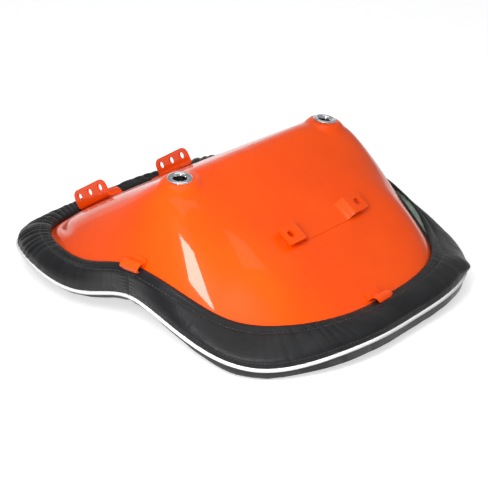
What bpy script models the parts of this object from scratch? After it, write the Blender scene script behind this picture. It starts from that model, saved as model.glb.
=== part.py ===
"""Pan seat of a compact tractor, lying upside down on its padded cover.

X runs across the seat and is its plane of symmetry, +Y points to the seat's front edge,
+Z is up, away from the surface that the cover lies on.  Lengths below are millimetres and
are turned into metres where a mesh is made.  The origin is under the middle of the seat.
"""
import math

import bmesh
import bpy
import numpy as np
from mathutils import Matrix, Vector

MM = 0.001
GAP = 0.3                       # clearance between touching pieces
CENTRE_SHIFT = 2.68             # moves the outline's centre along Y onto the origin

# Outline stations, front centre to back centre along one side: front centre, front quarter,
# front corner, thigh side, waist, backrest side, backrest corner, backrest quarter, top centre.
HEM_LINE = [(0, 205), (81, 199), (149, 143), (176, 66), (182, -13), (172, -86), (147, -137),
            (102, -179), (0, -193.5)]
PIPING_LINE = [(0, 219), (103, 222), (176, 162), (196, 64), (187, -6), (195, -81), (178, -162),
               (106, -217), (0, -228)]
PIPING_HEIGHT = [26, 22, 35, 31, 45, 38, 16, 22, 22]
CROWN_HEIGHT = [0, 0, 27, 24, 37, 29, 0, 0, 0]
ROLL_LIFT = [8, 9, 7, 3, 2, 2, 2, 3, 4]
STATIONS = 48                   # cross-sections around the seat

# Pressed steel pan
PAN_THICKNESS = 1.8
RIDGE_HEIGHT = 154.2            # height where the underside and back planes would meet
RIDGE_Y = -14.7
UNDERSIDE_SLOPE = 0.533
BACK_SLOPE = 0.684
BACK_DISH = 4.7                 # rise of the back plane at 100 mm from the middle
RIDGE_SOFTNESS = 6.8            # larger is a rounder bend between the planes
WALL_SOFTNESS = 24.6
FOOT_LEVEL = 5.0                # height at which the walls would reach WALL_FOOT
WALL_FOOT = [(0, 248), (100, 235), (173, 175), (198, 76), (212, -16), (198, -97), (164, -146),
             (113, -196), (0, -245)]
WALL_SLOPE = [1.3, 1.25, 1.4, 2.1, 2.3, 1.9, 1.9, 2.8, 2.7]
PAN_RINGS = [0.10, 0.22, 0.34, 0.46, 0.56, 0.65, 0.73, 0.81, 0.89, 0.96, 1.0]
RIM_OVERHANG = 4.0              # pan rim hidden under the cover, measured from the hem

# Vents
EYELET_X = 116.0
EYELET_Y = -20.0
EYELET_RADIUS = 13.0
EYELET_BORE = 7.0
BARREL_RADIUS = 7.8
SEAT_RADIUS = 15.0              # flat seat pressed in the pan around each vent
FLAT_REACH = 30.0               # where the flattening round a vent fades out
WASHER_TOP = -5.4               # below the pan's outer skin, clear of its inner skin

# Hinge plates
PLATE_X = 66.0
PLATE_Y = 163.0
PLATE_LENGTH = 60.0
PLATE_HEIGHT = 22.0
PLATE_THICKNESS = 3.0
PLATE_FOOT = 16.0
PLATE_CORNER = 9.0
HOLE_PITCH = 20.0
HOLE_RADIUS = 4.25
HOLE_FROM_TOP = 8.5

# Rear strap
STRAP_Y = -108.0
STRAP_WIDTH = 22.0
STRAP_THICKNESS = 2.2
STRAP_HOLE_X = 55.0
STRAP_END = 9.5                 # from a hole to the strap's end
STRAP_MIDDLE = 30.0             # half length of the stretch that lies on the pan
STRAP_RISE = 6.5

# Cover and filling
SKIN = 1.4
FOAM_DEPTH = 34.0
PAN_CLEARANCE = 3.4             # between the foam and the pan's inner skin
FOAM_CLEARANCE = 1.5            # between the foam and the cover's inner skin
PIPING_RADIUS = 2.2
CORD_RADIUS = 1.6
HEM_STANDOFF = 6.2              # top of the hem above the pan
WAIST_Y = -16.0                 # seam between the seat and the backrest parts
FACE_RINGS = [0.14, 0.28, 0.42, 0.54, 0.64, 0.74, 0.84, 0.93, 0.97, 1.0]
CROWN_START = 0.93              # where the cushion's rounded edge begins

# Hem clips
CLIP_WIDTH = 22.0
CLIP_THICKNESS = 1.6
CLIP_FOOT = 15.0                # length of a clip from its root to the hem, along the pan
SHORT_REACH = [0.0, 0.05]       # shares of the side roll that the side clips cover
LONG_REACH = [0.0, 0.09, 0.18]  # the same for the clips at the front and the top
TOP_CLIP_X = -11.0
SIDE_CLIP_Y = -20.0

ORANGE = (0.90, 0.13, 0.015, 1.0)
BLACK = (0.028, 0.029, 0.031, 1.0)
CHROME = (0.78, 0.78, 0.80, 1.0)
ZINC = (0.55, 0.55, 0.57, 1.0)
WHITE = (0.88, 0.88, 0.86, 1.0)
FOAM = (0.22, 0.33, 0.25, 1.0)
CORD = (0.10, 0.10, 0.10, 1.0)


# ---------------------------------------------------------------- basic tools

def clear_scene():
    for item in list(bpy.data.objects):
        bpy.data.objects.remove(item, do_unlink=True)


def material(name, colour, roughness, metallic=0.0):
    made = bpy.data.materials.new(name)
    made.use_nodes = True
    shader = made.node_tree.nodes["Principled BSDF"]
    shader.inputs["Base Color"].default_value = colour
    shader.inputs["Roughness"].default_value = roughness
    shader.inputs["Metallic"].default_value = metallic
    made.diffuse_color = colour
    return made


def add_object(name, mesh, finish, location=(0, 0, 0), turn=None):
    made = bpy.data.objects.new(name, mesh)
    made.location = Vector(location) * MM
    if turn is not None:
        made.rotation_euler = turn.to_euler()
    bpy.context.collection.objects.link(made)
    mesh.materials.append(finish)
    return made


def mesh_from(name, points, faces, smooth=True):
    """Closed mesh of points in millimetres, faces turned outward."""
    mesh = bpy.data.meshes.new(name)
    mesh.from_pydata([Vector(point) * MM for point in points], [], faces)
    work = bmesh.new()
    work.from_mesh(mesh)
    bmesh.ops.recalc_face_normals(work, faces=work.faces)
    if work.calc_volume(signed=True) < 0:
        bmesh.ops.reverse_faces(work, faces=work.faces)
    work.to_mesh(mesh)
    work.free()
    if smooth:
        mesh.shade_smooth()
        mesh.set_sharp_from_angle(angle=math.radians(40))
    return mesh


def ring_faces(first, second, count):
    """Quads between two rings of points that start at the two given indices."""
    faces = []
    for i in range(count):
        j = (i + 1) % count
        faces.append((first + i, first + j, second + j, second + i))
    return faces


def dish_mesh(name, start, rings, end):
    """Closed body: rings of points from a start point out and back in to an end point."""
    count = len(rings[0])
    points = [tuple(start)]
    for ring in rings:
        points.extend(tuple(point) for point in ring)
    points.append(tuple(end))
    last = len(points) - 1
    faces = [(0, 1 + (i + 1) % count, 1 + i) for i in range(count)]
    for index in range(len(rings) - 1):
        faces.extend(ring_faces(1 + index * count, 1 + (index + 1) * count, count))
    base = 1 + (len(rings) - 1) * count
    faces.extend((last, base + i, base + (i + 1) % count) for i in range(count))
    return mesh_from(name, points, faces)


def loop_mesh(name, rings):
    """Closed body of rings whose last ring joins the first, such as a band or a tube."""
    count = len(rings[0])
    points = []
    faces = []
    for ring in rings:
        points.extend(tuple(point) for point in ring)
    for index in range(len(rings)):
        following = (index + 1) % len(rings)
        faces.extend(ring_faces(index * count, following * count, count))
    return mesh_from(name, points, faces)


def cutter(name, mesh, location=(0, 0, 0), turn=None):
    made = bpy.data.objects.new(name, mesh)
    made.location = Vector(location) * MM
    if turn is not None:
        made.rotation_euler = turn.to_euler()
    bpy.context.collection.objects.link(made)
    made.hide_render = True
    made.display_type = "WIRE"
    return made


def boolean(target, tool, operation):
    change = target.modifiers.new(operation.title(), "BOOLEAN")
    change.operation = operation
    change.solver = "EXACT"
    change.object = tool


def drum(name, radius, low, high, sides=24):
    """Closed cylinder along Z."""
    mesh = bpy.data.meshes.new(name)
    work = bmesh.new()
    shift = Matrix.Translation((0, 0, (low + high) / 2 * MM))
    bmesh.ops.create_cone(work, cap_ends=True, segments=sides, radius1=radius * MM,
                          radius2=radius * MM, depth=(high - low) * MM, matrix=shift)
    work.to_mesh(mesh)
    work.free()
    return mesh


def turned(name, profile, sides=24):
    """Ring turned about Z from a closed profile of (radius, height) points."""
    rings = []
    for radius, height in profile:
        angles = [2 * math.pi * i / sides for i in range(sides)]
        rings.append([(radius * math.cos(a), radius * math.sin(a), height) for a in angles])
    return loop_mesh(name, rings)


def ribbon(name, centre, normals, sideways, width, thickness):
    """Bent flat bar: a centre line with its normals, swept sideways to its width."""
    points = []
    for point, normal in zip(centre, normals):
        for side, lift in ((-1, -1), (1, -1), (1, 1), (-1, 1)):
            offset = sideways * (side * width / 2) + normal * (lift * thickness / 2)
            points.append(point + offset)
    faces = [(0, 1, 2, 3)]
    for index in range(len(centre) - 1):
        base = index * 4
        for i in range(4):
            j = (i + 1) % 4
            faces.append((base + i, base + 4 + i, base + 4 + j, base + j))
    base = (len(centre) - 1) * 4
    faces.append((base + 3, base + 2, base + 1, base))
    return mesh_from(name, points, faces)


# ---------------------------------------------------------------- outlines

def spline_second(knots, values, period):
    """Second derivatives of the periodic cubic spline through the values."""
    count = len(values)
    step = np.append(np.diff(knots), period - knots[-1])
    matrix = np.zeros((count, count))
    right = np.zeros(count)
    for i in range(count):
        before = step[i - 1]
        after = step[i]
        matrix[i, i - 1] += before
        matrix[i, i] += 2 * (before + after)
        matrix[i, (i + 1) % count] += after
        ahead = (values[(i + 1) % count] - values[i]) / after
        behind = (values[i] - values[i - 1]) / before
        right[i] = 6 * (ahead - behind)
    return np.linalg.solve(matrix, right), step


def periodic(knots, values, period, where):
    """Periodic cubic spline through values at knots, read at the places in where."""
    values = np.asarray(values, float)
    second, step = spline_second(knots, values, period)
    where = np.mod(where, period)
    index = np.searchsorted(knots, where, side="right") - 1
    following = (index + 1) % len(values)
    h = step[index]
    b = (where - knots[index]) / h
    a = 1 - b
    cubic = ((a ** 3 - a) * second[index] + (b ** 3 - b) * second[following]) * h * h / 6
    return a * values[index] + b * values[following] + cubic


def full_loop(half, sign=1.0):
    """Half-outline values continued round the other side; sign is -1 for the X values."""
    return list(half) + [sign * value for value in half[-2:0:-1]]


def station_knots():
    x = np.array(full_loop([p[0] for p in HEM_LINE], -1.0), float)
    y = np.array(full_loop([p[1] for p in HEM_LINE]), float)
    chords = np.hypot(np.roll(x, -1) - x, np.roll(y, -1) - y)
    knots = np.concatenate(([0.0], np.cumsum(chords)[:-1]))
    return knots, chords.sum()


KNOTS, PERIOD = station_knots()
PLACES = np.arange(STATIONS) * PERIOD / STATIONS


def outline(half, where=PLACES):
    x = periodic(KNOTS, full_loop([p[0] for p in half], -1.0), PERIOD, where)
    y = periodic(KNOTS, full_loop([p[1] for p in half]), PERIOD, where)
    return np.stack([x, y], axis=1)


def around(half, where=PLACES):
    return periodic(KNOTS, full_loop(half), PERIOD, where)


def polar_table(half, values=None):
    """Sorted angles of an outline, with its radius or a value given at the stations."""
    where = np.linspace(0, PERIOD, 721)[:-1]
    line = outline(half, where)
    angle = np.arctan2(line[:, 0], line[:, 1])
    order = np.argsort(angle)
    read = np.hypot(line[:, 0], line[:, 1]) if values is None else around(values, where)
    return angle[order], read[order]


FOOT_ANGLE, FOOT_RADIUS = polar_table(WALL_FOOT)
SLOPE_ANGLE, SLOPE_VALUE = polar_table(WALL_FOOT, WALL_SLOPE)


# ---------------------------------------------------------------- pan surface

def soft_minimum(first, second, softness):
    low = np.minimum(first, second)
    total = np.exp((low - first) / softness) + np.exp((low - second) / softness)
    return low - softness * np.log(total)


def pressed_height(x, y):
    """Height of the pan's outer skin: underside, back and wall joined by soft bends."""
    underside = RIDGE_HEIGHT - UNDERSIDE_SLOPE * (y - RIDGE_Y)
    back = RIDGE_HEIGHT + BACK_SLOPE * (y - RIDGE_Y) + BACK_DISH * (x / 100) ** 2
    angle = np.arctan2(x, y)
    foot = np.interp(angle, FOOT_ANGLE, FOOT_RADIUS, period=2 * math.pi)
    slope = np.interp(angle, SLOPE_ANGLE, SLOPE_VALUE, period=2 * math.pi)
    wall = FOOT_LEVEL + slope * (foot - np.hypot(x, y))
    return soft_minimum(soft_minimum(underside, back, RIDGE_SOFTNESS), wall, WALL_SOFTNESS)


def pan_height(x, y):
    """The pressed height, flattened to its tangent plane round each vent."""
    vent_x = np.array([EYELET_X - 1, EYELET_X + 1, EYELET_X, EYELET_X])
    vent_y = np.array([EYELET_Y, EYELET_Y, EYELET_Y - 1, EYELET_Y + 1])
    low_x, high_x, low_y, high_y = pressed_height(vent_x, vent_y)
    side = np.abs(x) - EYELET_X
    ahead = y - EYELET_Y
    plane = (low_x + high_x) / 2 + side * (high_x - low_x) / 2 + ahead * (high_y - low_y) / 2
    away = (FLAT_REACH - np.hypot(side, ahead)) / (FLAT_REACH - SEAT_RADIUS)
    share = np.clip(away, 0, 1)
    share = share * share * (3 - 2 * share)
    return pressed_height(x, y) * (1 - share) + plane * share


def pan_normal(x, y):
    step = 1.0
    slope_x = (pan_height(x + step, y) - pan_height(x - step, y)) / (2 * step)
    slope_y = (pan_height(x, y + step) - pan_height(x, y - step)) / (2 * step)
    normal = np.stack([-slope_x, -slope_y, np.ones_like(slope_x)], axis=-1)
    return normal / np.linalg.norm(normal, axis=-1, keepdims=True)


def pan_points(line, lift=0.0):
    """Points above an outline of (x, y), lifted off the pan's outer skin along its normal."""
    x = line[:, 0]
    y = line[:, 1]
    return np.stack([x, y, pan_height(x, y)], axis=1) + lift * pan_normal(x, y)


def pan_point(x, y, lift=0.0):
    return Vector(pan_points(np.array([[x, y]], float), lift)[0])


def outward_of(line):
    """Unit outward directions of a closed outline of (x, y)."""
    along = np.roll(line, -1, axis=0) - np.roll(line, 1, axis=0)
    out = np.stack([-along[:, 1], along[:, 0]], axis=1)
    out /= np.linalg.norm(out, axis=1, keepdims=True)
    middle = (out * line).sum(axis=1, keepdims=True)
    return out * np.sign(middle)


HEM = outline(HEM_LINE)
OUT = outward_of(HEM)
RIM = HEM + OUT * RIM_OVERHANG
PIPING = np.column_stack([outline(PIPING_LINE), around(PIPING_HEIGHT)])
OUT3 = np.column_stack([outward_of(outline(PIPING_LINE)), np.zeros(STATIONS)])
UP3 = np.array([0.0, 0.0, 1.0])


def roll_curve(share, inset=0.0):
    """Ring of the cover's side roll: share 0 is at the hem, 1 at the piping."""
    first = pan_points(HEM, HEM_STANDOFF)
    last = PIPING + UP3 * (PIPING_RADIUS + GAP)
    lift = around(ROLL_LIFT)[:, None]
    early = first + OUT3 * 3 + UP3 * lift
    late = last + OUT3 * 4.5 + UP3 * (8 + 0.5 * lift)
    a = 1 - share
    point = a ** 3 * first + 3 * a * a * share * early + 3 * a * share ** 2 * late + share ** 3 * last
    along = 3 * (a * a * (early - first) + 2 * a * share * (late - early) + share ** 2 * (last - late))
    around_seat = np.roll(point, -1, axis=0) - np.roll(point, 1, axis=0)
    normal = np.cross(along, around_seat)
    normal /= np.linalg.norm(normal, axis=1, keepdims=True)
    facing = (np.cross(-UP3, around_seat) * OUT3).sum(axis=1, keepdims=True)
    return point - normal * np.sign(facing) * inset


def face_ring(share, lift=0.0):
    """Ring of the sitting face; share 0 is the middle of the seat, 1 is at the piping."""
    edge = PIPING[:, :2]
    line = edge * share
    crown = np.maximum(around(CROWN_HEIGHT), 0.0)
    bowl = pan_height(line[:, 0], line[:, 1]) - PAN_THICKNESS - FOAM_DEPTH
    blend = np.clip((share - 0.50) / 0.34, 0, 1)
    blend = blend * blend * (3 - 2 * blend)
    height = np.minimum(bowl, 400) * (1 - blend) + crown * blend
    if share > CROWN_START:
        turn = (share - CROWN_START) / (1 - CROWN_START)
        edge_height = PIPING[:, 2] - PIPING_RADIUS - GAP
        height = crown + (edge_height - crown) * (1 - math.sqrt(max(0.0, 1 - turn * turn)))
    return np.column_stack([line, height + lift])


# ---------------------------------------------------------------- pieces

def make_pan(finish):
    outer = [pan_points(HEM * share) for share in PAN_RINGS]
    outer.append(pan_points((HEM + RIM) / 2))
    outer.append(pan_points(RIM))
    inner = [pan_points(RIM, -PAN_THICKNESS), pan_points((HEM + RIM) / 2, -PAN_THICKNESS)]
    inner += [pan_points(HEM * share, -PAN_THICKNESS) for share in reversed(PAN_RINGS)]
    mesh = dish_mesh("seat_pan", pan_point(0, 0), outer + inner, pan_point(0, 0, -PAN_THICKNESS))
    pan = add_object("seat_pan", mesh, finish)
    for side, label in ((-1, "left"), (1, "right")):
        place, turn = vent_frame(side)
        hole = cutter("vent_hole_" + label, drum("hole", BARREL_RADIUS + GAP, -20, 20), place, turn)
        boolean(pan, hole, "DIFFERENCE")
    return pan


def frame_matrix(x_axis, y_axis, z_axis):
    return Matrix((x_axis, y_axis, z_axis)).transposed()


def vent_frame(side):
    x = side * EYELET_X
    normal = Vector(pan_normal(np.array(x), np.array(EYELET_Y)))
    across = Vector((0, 1, 0)).cross(normal).normalized()
    return pan_point(x, EYELET_Y), frame_matrix(across, normal.cross(across), normal)


def make_vents(chrome, zinc):
    tail = WASHER_TOP - 1.6
    flange = [(EYELET_BORE, tail), (BARREL_RADIUS, tail), (BARREL_RADIUS, GAP),
              (EYELET_RADIUS - 0.6, GAP), (EYELET_RADIUS, GAP + 0.5),
              (EYELET_RADIUS - 1.0, GAP + 1.3), (EYELET_RADIUS - 2.8, GAP + 1.9),
              (EYELET_BORE + 1.6, GAP + 1.6), (EYELET_BORE + 0.4, GAP + 0.6)]
    washer = [(BARREL_RADIUS + GAP, WASHER_TOP - 1.0), (EYELET_RADIUS - 1.0, WASHER_TOP - 1.0),
              (EYELET_RADIUS - 1.0, WASHER_TOP), (BARREL_RADIUS + GAP, WASHER_TOP)]
    for side, label in ((-1, "left"), (1, "right")):
        place, turn = vent_frame(side)
        add_object("vent_eyelet_" + label, turned("vent_eyelet", flange), chrome, place, turn)
        add_object("eyelet_washer_" + label, turned("eyelet_washer", washer), zinc, place, turn)


def rounded_plate_outline(length, height, corner, steps=5):
    """Plate outline in its own plane, base at 0, both top corners rounded."""
    half = length / 2
    points = [(-half, -30.0), (half, -30.0)]
    for centre_x, start in ((half - corner, 0.0), (corner - half, math.pi / 2)):
        for i in range(steps + 1):
            angle = start + math.pi / 2 * i / steps
            points.append((centre_x + corner * math.cos(angle), height - corner + corner * math.sin(angle)))
    return points


def extruded(name, outline_points, low, high):
    """Closed prism of an outline in the local YZ plane, from low to high along X."""
    count = len(outline_points)
    points = [(low, y, z) for y, z in outline_points] + [(high, y, z) for y, z in outline_points]
    faces = [tuple(range(count)), tuple(range(2 * count - 1, count - 1, -1))]
    faces += ring_faces(0, count, count)
    return mesh_from(name, points, faces, smooth=False)


def bent_profile(points, radius, steps=4):
    """Polyline with its inner corners replaced by arcs; returns points and left normals."""
    smooth = [Vector(points[0])]
    for before, corner, after in zip(points, points[1:], points[2:]):
        corner = Vector(corner)
        back = (Vector(before) - corner).normalized()
        ahead = (Vector(after) - corner).normalized()
        half_angle = back.angle(ahead) / 2
        reach = radius / math.tan(half_angle)
        centre = corner + (back + ahead).normalized() * (radius / math.sin(half_angle))
        start = corner + back * reach - centre
        finish = corner + ahead * reach - centre
        sweep = start.angle(finish)
        for i in range(steps + 1):
            t = i / steps
            first = math.sin((1 - t) * sweep) / math.sin(sweep)
            second = math.sin(t * sweep) / math.sin(sweep)
            smooth.append(centre + start * first + finish * second)
    smooth.append(Vector(points[-1]))
    normals = []
    for index in range(len(smooth)):
        ahead = smooth[min(index + 1, len(smooth) - 1)] - smooth[index]
        behind = smooth[index] - smooth[max(index - 1, 0)]
        along = (ahead.normalized() + behind.normalized()).normalized()
        normals.append(Vector((-along.y, along.x)))
    return smooth, normals


def seat_height(place, turn, half_x, half_y):
    """Highest point of the pan above a local plane, within a rectangle around its centre."""
    highest = -100.0
    normal = turn.col[2]
    for i in range(-4, 5):
        for j in range(-4, 5):
            spot = place + turn.col[0] * (half_x * i / 4) + turn.col[1] * (half_y * j / 4)
            point = pan_point(spot.x, spot.y)
            highest = max(highest, (point - place).dot(normal))
    return highest


def make_hinge_plates(finish):
    for side, label in ((-1, "left"), (1, "right")):
        foot_x = side * (PLATE_X - PLATE_FOOT / 2)
        slope = math.atan2(pan_height(np.array(foot_x), np.array(PLATE_Y - 20.0))
                           - pan_height(np.array(foot_x), np.array(PLATE_Y + 20.0)), 40.0)
        along = Vector((0, math.cos(slope), -math.sin(slope)))
        normal = Vector((0, math.sin(slope), math.cos(slope)))
        turn = frame_matrix(Vector((1, 0, 0)), along, normal)
        place = pan_point(foot_x, PLATE_Y)
        place.x = side * PLATE_X
        centre = place - Vector((side * PLATE_FOOT / 2, 0, 0))
        place += normal * (seat_height(centre, turn, PLATE_FOOT / 2 + 2, PLATE_LENGTH / 2) + GAP)
        low = PLATE_THICKNESS / 2
        corner = [(-side * PLATE_FOOT, low), (0, low), (0, PLATE_HEIGHT)]
        line, normals = bent_profile(corner, PLATE_THICKNESS)
        centre_line = [Vector((p.x, 0, p.y)) for p in line]
        mesh = ribbon("hinge_plate", centre_line, [Vector((n.x, 0, n.y)) for n in normals],
                      Vector((0, 1, 0)), PLATE_LENGTH, PLATE_THICKNESS)
        plate = add_object("hinge_plate_" + label, mesh, finish, place, turn)
        shape = rounded_plate_outline(PLATE_LENGTH, PLATE_HEIGHT, PLATE_CORNER)
        trim = cutter("plate_outline_" + label, extruded("trim", shape, -40, 40), place, turn)
        boolean(plate, trim, "INTERSECT")
        across = Matrix.Rotation(math.pi / 2, 3, "Y")
        for index in (-1, 0, 1):
            spot = place + along * (index * HOLE_PITCH) + normal * (PLATE_HEIGHT - HOLE_FROM_TOP)
            name = "plate_hole_%s_%d" % (label, index + 2)
            drill = cutter(name, drum("drill", HOLE_RADIUS, -10, 10, 24), spot, turn @ across)
            boolean(plate, drill, "DIFFERENCE")


def make_strap(finish):
    normal = Vector(pan_normal(np.array(0.0), np.array(STRAP_Y)))
    across = Vector((1, 0, 0))
    turn = frame_matrix(across, normal.cross(across), normal)
    place = pan_point(0, STRAP_Y)
    place += normal * (seat_height(place, turn, STRAP_MIDDLE + 8, STRAP_WIDTH / 2) + GAP)
    low = STRAP_THICKNESS / 2
    high = low + STRAP_RISE
    tip = STRAP_HOLE_X + STRAP_END
    bend = STRAP_MIDDLE + 9
    shape = [(-tip, high), (-bend - 3, high), (-STRAP_MIDDLE - 3, low), (STRAP_MIDDLE + 3, low),
             (bend + 3, high), (tip, high)]
    line, normals = bent_profile(shape, 4.0)
    mesh = ribbon("rear_strap", [Vector((p.x, 0, p.y)) for p in line],
                  [Vector((n.x, 0, n.y)) for n in normals], Vector((0, 1, 0)), STRAP_WIDTH,
                  STRAP_THICKNESS)
    strap = add_object("rear_strap", mesh, finish, place, turn)
    for side, label in ((-1, "left"), (1, "right")):
        spot = place + across * (side * STRAP_HOLE_X)
        drill = cutter("strap_hole_" + label, drum("drill", HOLE_RADIUS, 0, 30, 24), spot, turn)
        boolean(strap, drill, "DIFFERENCE")


def half_of(mesh, sign):
    """The part of a closed mesh ahead of the waist seam (sign 1) or behind it (sign -1)."""
    work = bmesh.new()
    work.from_mesh(mesh)
    everything = work.verts[:] + work.edges[:] + work.faces[:]
    cut = (0, (WAIST_Y + sign * GAP / 2) * MM, 0)
    bmesh.ops.bisect_plane(work, geom=everything, plane_co=cut, plane_no=(0, -sign, 0),
                           clear_outer=True)
    open_edges = [edge for edge in work.edges if edge.is_boundary]
    bmesh.ops.holes_fill(work, edges=open_edges)
    bmesh.ops.triangulate(work, faces=[face for face in work.faces if len(face.verts) > 4])
    half = bpy.data.meshes.new(mesh.name)
    work.to_mesh(half)
    work.free()
    half.shade_smooth()
    half.set_sharp_from_angle(angle=math.radians(40))
    return half


def make_halves(mesh, front_name, back_name, finish):
    """The seat part and the backrest part of one cover layer, cut apart at the waist."""
    front = add_object(front_name, half_of(mesh, 1), finish)
    back = add_object(back_name, half_of(mesh, -1), finish)
    return front, back


def make_band(finish):
    shares = [0.0, 0.12, 0.27, 0.43, 0.60, 0.76, 0.90, 1.0]
    outer = [roll_curve(share) for share in shares]
    inner = [roll_curve(share, SKIN) for share in reversed(shares)]
    lip = [pan_points(HEM - OUT * 1.3, GAP + 0.3), pan_points(HEM - OUT * 2.7, GAP + 0.3)]
    mesh = loop_mesh("side_band", outer + inner + lip)
    make_halves(mesh, "seat_side_band", "backrest_side_band", finish)


def make_face(finish):
    outer = [face_ring(share) for share in FACE_RINGS]
    inner = [face_ring(share, SKIN) for share in reversed(FACE_RINGS[:-2])]
    inner.insert(0, face_ring(1.0, 0.0) - OUT3 * SKIN)
    start = (0.0, 0.0, outer[0][:, 2].max())
    end = (0.0, 0.0, start[2] + SKIN)
    mesh = dish_mesh("face_panel", start, outer + inner, end)
    make_halves(mesh, "seat_face_panel", "backrest_face_panel", finish)


def make_foam(finish):
    clear = PAN_THICKNESS + PAN_CLEARANCE
    rings = [pan_points(HEM * share, -clear) for share in PAN_RINGS]
    rings.append(pan_points(RIM, -clear))
    rings.append(pan_points(RIM + OUT * 1.5, -0.5 * PAN_THICKNESS))
    inset = SKIN + FOAM_CLEARANCE
    rings += [roll_curve(share, inset) for share in (0.36, 0.50, 0.64, 0.78, 0.90)]
    rings.append(PIPING - OUT3 * (PIPING_RADIUS + inset) + UP3 * 4)
    rings.append(PIPING - OUT3 * (PIPING_RADIUS + inset) - UP3 * 2)
    rings += [face_ring(share, inset) for share in FACE_RINGS[-3::-1]]
    start = pan_point(0, 0, -clear)
    end = (0.0, 0.0, rings[-1][:, 2].max())
    mesh = dish_mesh("foam", start, rings, end)
    halves = make_halves(mesh, "seat_foam", "backrest_foam", finish)
    for side, label in ((-1, "left"), (1, "right")):
        place, turn = vent_frame(side)
        tool = drum("pocket", SEAT_RADIUS, WASHER_TOP - 4, 10)
        pocket = cutter("foam_pocket_" + label, tool, place, turn)
        for half in halves:
            boolean(half, pocket, "DIFFERENCE")


def tube_rings(line, radius, sides):
    """Rings of a closed tube round a closed line, one ring for each side of the tube."""
    along = np.roll(line, -1, axis=0) - np.roll(line, 1, axis=0)
    along /= np.linalg.norm(along, axis=1, keepdims=True)
    sideways = np.cross(along, UP3)
    sideways /= np.linalg.norm(sideways, axis=1, keepdims=True)
    upward = np.cross(sideways, along)
    rings = []
    for i in range(sides):
        angle = 2 * math.pi * i / sides
        rings.append(line + radius * (math.cos(angle) * sideways + math.sin(angle) * upward))
    return rings


def make_piping(finish):
    add_object("piping", loop_mesh("piping", tube_rings(PIPING, PIPING_RADIUS, 8)), finish)


def make_hem_cord(finish):
    line = pan_points(HEM + OUT * 1.5, CORD_RADIUS + GAP + 0.2)
    add_object("hem_cord", loop_mesh("hem_cord", tube_rings(line, CORD_RADIUS, 6)), finish)


def between(ring, place):
    """Point of a ring at a place along the outline, where stations are whole numbers."""
    low = math.floor(place)
    share = place - low
    first = ring[low % STATIONS]
    second = ring[(low + 1) % STATIONS]
    return Vector(first * (1 - share) + second * share)


def make_clip(name, place, reach, finish):
    """Sheet-metal hook that stands on the pan and reaches out over the hem."""
    out = between(OUT3, place).normalized()
    sideways = Vector((-out.y, out.x, 0))
    hem = between(np.column_stack([HEM, np.zeros(STATIONS)]), place)
    flatness = float(pan_normal(hem.x, hem.y)[2])
    clear = CLIP_THICKNESS / 2 + GAP
    line = []
    for along, lift in ((1.0, clear + 0.2), (0.75, clear + 0.6), (0.45, HEM_STANDOFF)):
        spot = hem - out * (along * CLIP_FOOT * flatness)
        line.append(pan_point(spot.x, spot.y, lift))
    line.extend(between(roll_curve(share, -clear - 0.9), place) for share in reach)
    normals = []
    for index in range(len(line)):
        along = line[min(index + 1, len(line) - 1)] - line[max(index - 1, 0)]
        normals.append(along.cross(sideways).normalized() * -1)
    mesh = ribbon(name, line, normals, sideways, CLIP_WIDTH, CLIP_THICKNESS)
    add_object(name, mesh, finish)


def place_of(x, y):
    """Place along the outline, in stations, of the hem point nearest to (x, y)."""
    fine = outline(HEM_LINE, np.linspace(0, PERIOD, 1801)[:-1])
    nearest = np.argmin(np.hypot(fine[:, 0] - x, fine[:, 1] - y))
    return nearest / 1800 * STATIONS


def centre_on_origin():
    """Carry the whole seat on one empty, so that its outline is centred on the origin."""
    base = bpy.data.objects.new("seat_base", None)
    bpy.context.collection.objects.link(base)
    for item in list(bpy.data.objects):
        if item is not base:
            item.parent = base
    base.location = Vector((0, CENTRE_SHIFT, 0)) * MM


def main():
    clear_scene()
    paint = material("orange_paint", ORANGE, 0.16)
    vinyl = material("black_vinyl", BLACK, 0.45)
    chrome = material("chrome_plate", CHROME, 0.12, 1.0)
    zinc = material("zinc_plate", ZINC, 0.35, 1.0)
    white = material("white_vinyl", WHITE, 0.45)
    foam = material("rebond_foam", FOAM, 0.95)
    cord = material("hem_cord", CORD, 0.8)
    make_pan(paint)
    make_vents(chrome, zinc)
    make_hinge_plates(paint)
    make_strap(paint)
    make_foam(foam)
    make_face(vinyl)
    make_band(vinyl)
    make_piping(white)
    make_hem_cord(cord)
    waist_x = HEM_LINE[4][0]
    make_clip("hem_clip_front", 0.0, LONG_REACH, paint)
    make_clip("hem_clip_top", place_of(TOP_CLIP_X, HEM_LINE[-1][1]), LONG_REACH, paint)
    make_clip("hem_clip_right", place_of(waist_x, SIDE_CLIP_Y), SHORT_REACH, paint)
    make_clip("hem_clip_left", place_of(-waist_x, SIDE_CLIP_Y), SHORT_REACH, paint)
    centre_on_origin()


main()
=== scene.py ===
"""Looks of an upturned tractor pan seat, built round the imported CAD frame.

The scene is in metres; a length given in millimetres is multiplied by MM.  Every outline is
read from the CAD nodes: the hem and the piping from their tubes, the pan and the sitting face
from their skins, and the side roll from its band.
"""
import math

import bmesh  # noqa: E402
import bpy  # noqa: E402
import numpy as np  # noqa: E402
from mathutils import Matrix, Vector, noise  # noqa: E402
from mathutils.bvhtree import BVHTree  # noqa: E402


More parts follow.
